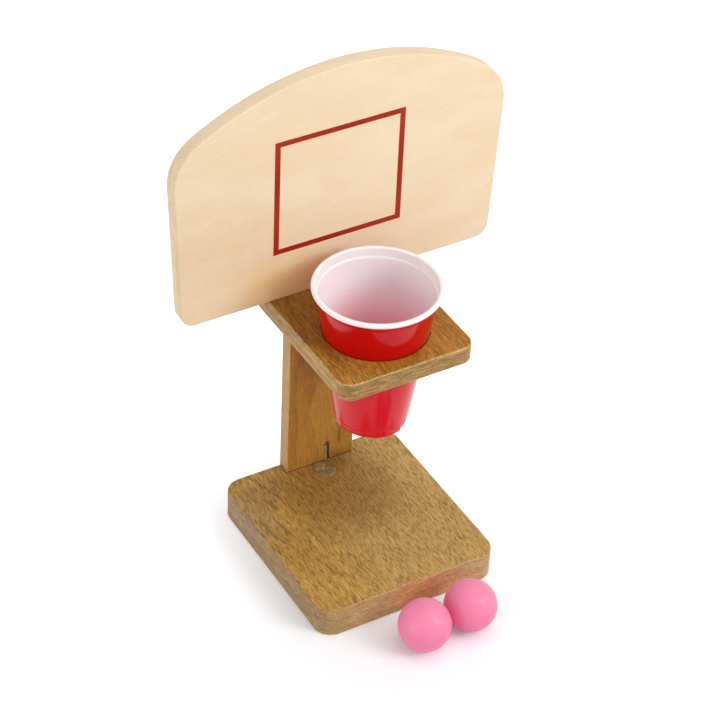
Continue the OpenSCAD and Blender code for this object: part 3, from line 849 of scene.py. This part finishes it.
def make_backboard():
    """Backboard: its outline swept round a quarter-round edge on both faces.

    Each ring is the outline drawn in by the edge's inset at that turn, and the last ring on each face is
    closed by one flat face. The edge's radius wanders as sanding leaves it, by the sum of two waves along
    the outline."""
    outline, outward = board_outline()
    low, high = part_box("backboard")
    middle = (low.x + high.x) / 2
    along = np.cumsum(np.linalg.norm(np.diff(outline, axis=0, prepend=outline[:1]), axis=1))
    wander = 1 + sum(share * np.sin(along * rate + start) for share, rate, start in EDGE_WAVES)
    edge = BOARD_EDGE_R * MM * wander[None, :, None]
    turn = np.linspace(0, np.pi / 2, EDGE_STEPS)[:, None, None]
    inset, depth = edge * (1 - np.sin(turn)), edge * (1 - np.cos(turn))
    inner = inset[:1] + BOARD_MARGIN * MM
    inset, depth = np.concatenate([inner, inset]), np.concatenate([0 * inner, depth])
    inset = np.concatenate([inset, inset[::-1]])
    depth = np.concatenate([depth, high.y - low.y - depth[::-1]])
    ring = outline[None] - outward[None] * inset
    points = np.stack([middle + ring[..., 0], low.y + depth[..., 0], low.z + ring[..., 1]], -1)
    rings, count = points.shape[:2]
    front, back = np.arange(count), np.arange((rings - 1) * count, rings * count)
    piece = put_surface("backboard_sanded", [(points, grid_faces(rings, count), front, back)])
    stand_in(piece, "backboard", "stand", make_pale_wood())


# Dried glue at the post's foot, in metres. The groove lies right of the post's middle, and the puddle's
# middle lies behind the front end of the glue's CAD node.
GROOVE_SHIFT = 0.0058
GROOVE_W = 0.0055
PUDDLE_CENTRE = 0.00625
PUDDLE_R = 0.0071
PUDDLE_H = 0.0010
MOUND_R = 0.0050
MOUND_H = 0.0016
MOUND_FORWARD = 0.0046
MOUND_LEFT = 0.0025
DOME_ROWS = 22
DOME_COLUMNS = 72
# Bead that ran down the groove, wider than deep, and its outline as shares of its radius and height
BEAD_R = 0.0013
BEAD_H = 0.0142
BEAD_WIDER = 1.5
BEAD_FROM_SIDE = 0.0016
BEAD_DEPTH = 0.0008
BEAD_FILLET = 0.001
BEAD_OUTLINE = [[0, 0], [1.2, 0], [1.1, 0.2], [0.85, 0.5], [0.95, 0.8], [0.75, 0.94], [0.35, 1], [0, 1]]
BEAD_STEPS = 4
BEAD_COLUMNS = 24


def dome(x, y, z, r, h, waver, hollow):
    """Low dome over a wavering outline, in rings from its middle outwards, closed by a flat face underneath.

    At a share s of the way out its height is h times two factors: 1 less s to the 7th, which ends it
    steeply, and 1 less hollow plus hollow times s cubed, which sinks its middle, or lifts it where hollow
    is below 0. The outline's radius is r with two sine waves of 3 and 5 turns on it."""
    share, angle = np.linspace(0, 1, DOME_ROWS)[:, None], around(DOME_COLUMNS)
    edge = r * (1 + waver * np.sin(3 * angle + 0.6) + 0.6 * waver * np.sin(5 * angle + 2))
    up = h * (1 - share ** 7) * (1 - hollow + hollow * share ** 3) + 0 * angle
    points = np.stack([x + share * edge * np.cos(angle), y + share * edge * np.sin(angle), z + up], -1)
    under = np.arange((DOME_ROWS - 1) * DOME_COLUMNS, DOME_ROWS * DOME_COLUMNS)
    return points, grid_faces(DOME_ROWS, DOME_COLUMNS), under


def make_glue_drop():
    """Dried glue before the post: a puddle with a raised rim, a mound behind it and a bead in the groove."""
    (left, front, _), (right, _, _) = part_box("post")
    board_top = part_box("base_board")[1].z
    x, y = (left + right) / 2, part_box("glue_drop")[0].y + PUDDLE_CENTRE
    puddle = dome(x, y, board_top, PUDDLE_R, PUDDLE_H, waver=0.03, hollow=0.25)
    mound_x, mound_y = x - MOUND_LEFT, front - MOUND_FORWARD
    mound = dome(mound_x, mound_y, board_top, MOUND_R, MOUND_H, waver=0.09, hollow=-0.2)
    corners = np.c_[np.array(BEAD_OUTLINE) * (BEAD_R, BEAD_H), np.full(len(BEAD_OUTLINE), BEAD_FILLET)]
    bead, squares = turned(eased(corners, BEAD_STEPS), (0, 0, 0), BEAD_COLUMNS)
    bead_x = x + GROOVE_SHIFT - GROOVE_W / 2 + BEAD_FROM_SIDE
    bead = bead * (BEAD_WIDER, 1, 1) + (bead_x, front + BEAD_DEPTH, board_top)
    piece = put_surface("glue_dried", [puddle, mound, (bead, squares)])
    stand_in(piece, "glue_drop", "stand", make_glue())


# Studio

FLOOR_SIZE = 8
FLOOR_SHADE = 0.80
FLOOR_SEEN = (0.93, 0.95, 0.97, 1)
# The floor's glow runs from one strength to the other, between two distances from a point by the balls
FLOOR_GLOW = (0.10, 0.60)
FLOOR_GLOW_REACH = (0.03, 0.31)
FLOOR_GLOW_FROM = (-0.02, -0.11, 0)
AMBIENT = 0.45
# Soft boxes: name, place, side in metres, watts and colour. They aim at the middle of the game.
LAMPS_AIM = Vector((0, 0, 0.15))
LAMPS = [
    ("key", (0.45, -0.35, 2.1), 2.0, 14, (1, 0.98, 0.95)),
    ("front", (1.2, -1.55, 1.4), 1.0, 23, (1, 1, 1)),
    ("left", (-2.3, -0.4, 0.5), 1.2, 18, (1, 1, 1)),
]


def seen_plainly(s):
    """1 for the rays that show the background: from the camera, off gloss and through glass."""
    path = s.add("ShaderNodeLightPath", output=None).outputs
    either = s.math("MAXIMUM", path["Is Camera Ray"], path["Is Glossy Ray"])
    return s.math("MAXIMUM", either, path["Is Transmission Ray"])


def make_floor():
    """Pale floor that takes the object's shadow. For the rays that show it, it is paler and glows.

    The glow is least by the balls."""
    corners = np.array([(-1, -1, 0), (1, -1, 0), (1, 1, 0), (-1, 1, 0)]) * FLOOR_SIZE / 2
    floor = put_surface("floor", [(corners, np.arange(4)[None, :])])
    made = bpy.data.materials.new("floor white")
    made.use_nodes = True
    made.node_tree.nodes.clear()
    s = Shading(made.node_tree)
    seen = seen_plainly(s)
    shade = s.mix(seen, (FLOOR_SHADE, FLOOR_SHADE, FLOOR_SHADE, 1), FLOOR_SEEN)
    matte = s.add("ShaderNodeBsdfDiffuse", {"Color": shade})
    far = s.vector("DISTANCE", s.add("ShaderNodeTexCoord", output="Object"), FLOOR_GLOW_FROM, output=1)
    glow = s.ease(far, *FLOOR_GLOW_REACH, *FLOOR_GLOW)
    glow = s.add("ShaderNodeEmission", {"Strength": s.math("MULTIPLY", seen, glow)})
    both = s.add("ShaderNodeAddShader", {0: matte, 1: glow})
    s.add("ShaderNodeOutputMaterial", {"Surface": both}, None)
    floor.data.materials.append(made)


def make_world():
    """Even grey light from all round, white where it is seen."""
    world = bpy.data.worlds.new("studio")
    bpy.context.scene.world = world
    world.use_nodes = True
    world.node_tree.nodes.clear()
    s = Shading(world.node_tree)
    light = s.add("ShaderNodeBackground", {"Color": (0.97, 0.98, 1, 1), "Strength": AMBIENT})
    white = s.add("ShaderNodeBackground", {"Color": (1, 1, 1, 1), "Strength": 1.0})
    both = s.add("ShaderNodeMixShader", {0: seen_plainly(s), 1: light, 2: white})
    s.add("ShaderNodeOutputWorld", {"Surface": both}, None)


def make_lamp(name, place, size, power, colour):
    """Square soft box at place, turned towards the lamps' aim."""
    data = bpy.data.lights.new(name, "AREA")
    data.size = size
    data.energy = power
    data.color = colour
    lamp = bpy.data.objects.new(name, data)
    turn = (Vector(place) - LAMPS_AIM).to_track_quat("Z", "Y").to_matrix().to_4x4()
    lamp.matrix_world = Matrix.Translation(place) @ turn
    bpy.context.scene.collection.objects.link(lamp)


def make_studio():
    """Floor, world and lamps, seen without any change of tone."""
    make_floor()
    make_world()
    for lamp in LAMPS:
        make_lamp(*lamp)
    bpy.context.scene.view_settings.view_transform = "Standard"


# The object


def finish_node(name, finish):
    """Puts a finish on each material slot of a CAD node."""
    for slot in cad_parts[name].material_slots:
        slot.material = finish


make_camera()
finish_node("base_board", make_base_oak())
finish_node("hoop_shelf", make_shelf_oak())
finish_node("post", make_post_wood())
finish_node("target_square", make_paint())
steel = make_steel()
for node in ("base_screws", "shelf_screws", "board_screws"):
    finish_node(node, steel)
make_backboard()
make_cup()
make_balls()
make_glue_drop()
make_studio()
